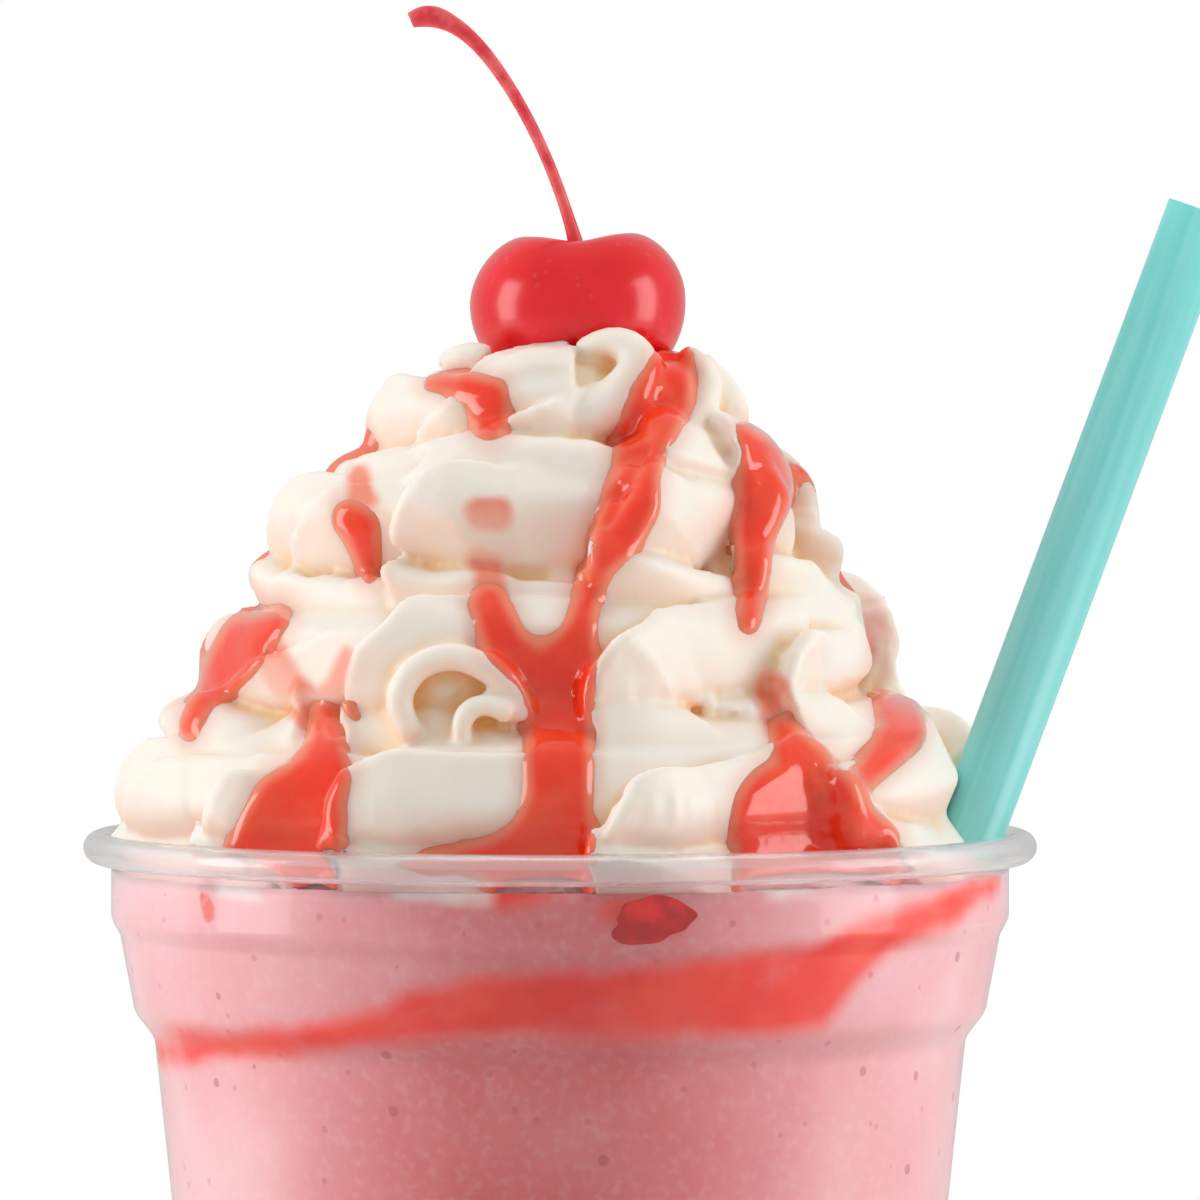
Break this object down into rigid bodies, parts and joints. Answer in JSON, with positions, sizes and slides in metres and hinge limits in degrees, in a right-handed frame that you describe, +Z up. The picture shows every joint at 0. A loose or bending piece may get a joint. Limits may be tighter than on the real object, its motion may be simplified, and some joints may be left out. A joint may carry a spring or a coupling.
{
  "type": "cup of strawberry milkshake",
  "caption": "Clear plastic cup full of strawberry milkshake, topped with piped cream, red sauce and a stemmed cherry, with a drinking straw.",
  "frame": {"origin": "centre of the cup's base, on the surface it stands on", "axes": "+Z up along the cup's axis, +X towards the side that the straw leans to, -Y towards the side shown"},
  "size_m": [0.1182, 0.098, 0.2058],
  "materials": {
    "clear_plastic": "clear thin plastic, glossy",
    "milkshake": "pink, creamy, with a band of red sauce on the cup's wall",
    "cream": "soft satin off-white, with glossy red sauce on it",
    "cherry_skin": "smooth, glossy, deep pink red",
    "cherry_stem": "satin red",
    "straw_plastic": "satin teal plastic, slightly translucent"
  },
  "bodies": {
    "root": {"cup": "clear_plastic", "milkshake": "milkshake", "whipped_cream": "cream", "cherry": "cherry_skin", "cherry_stem": "cherry_stem", "straw": "straw_plastic"}
  },
  "joints": []
}
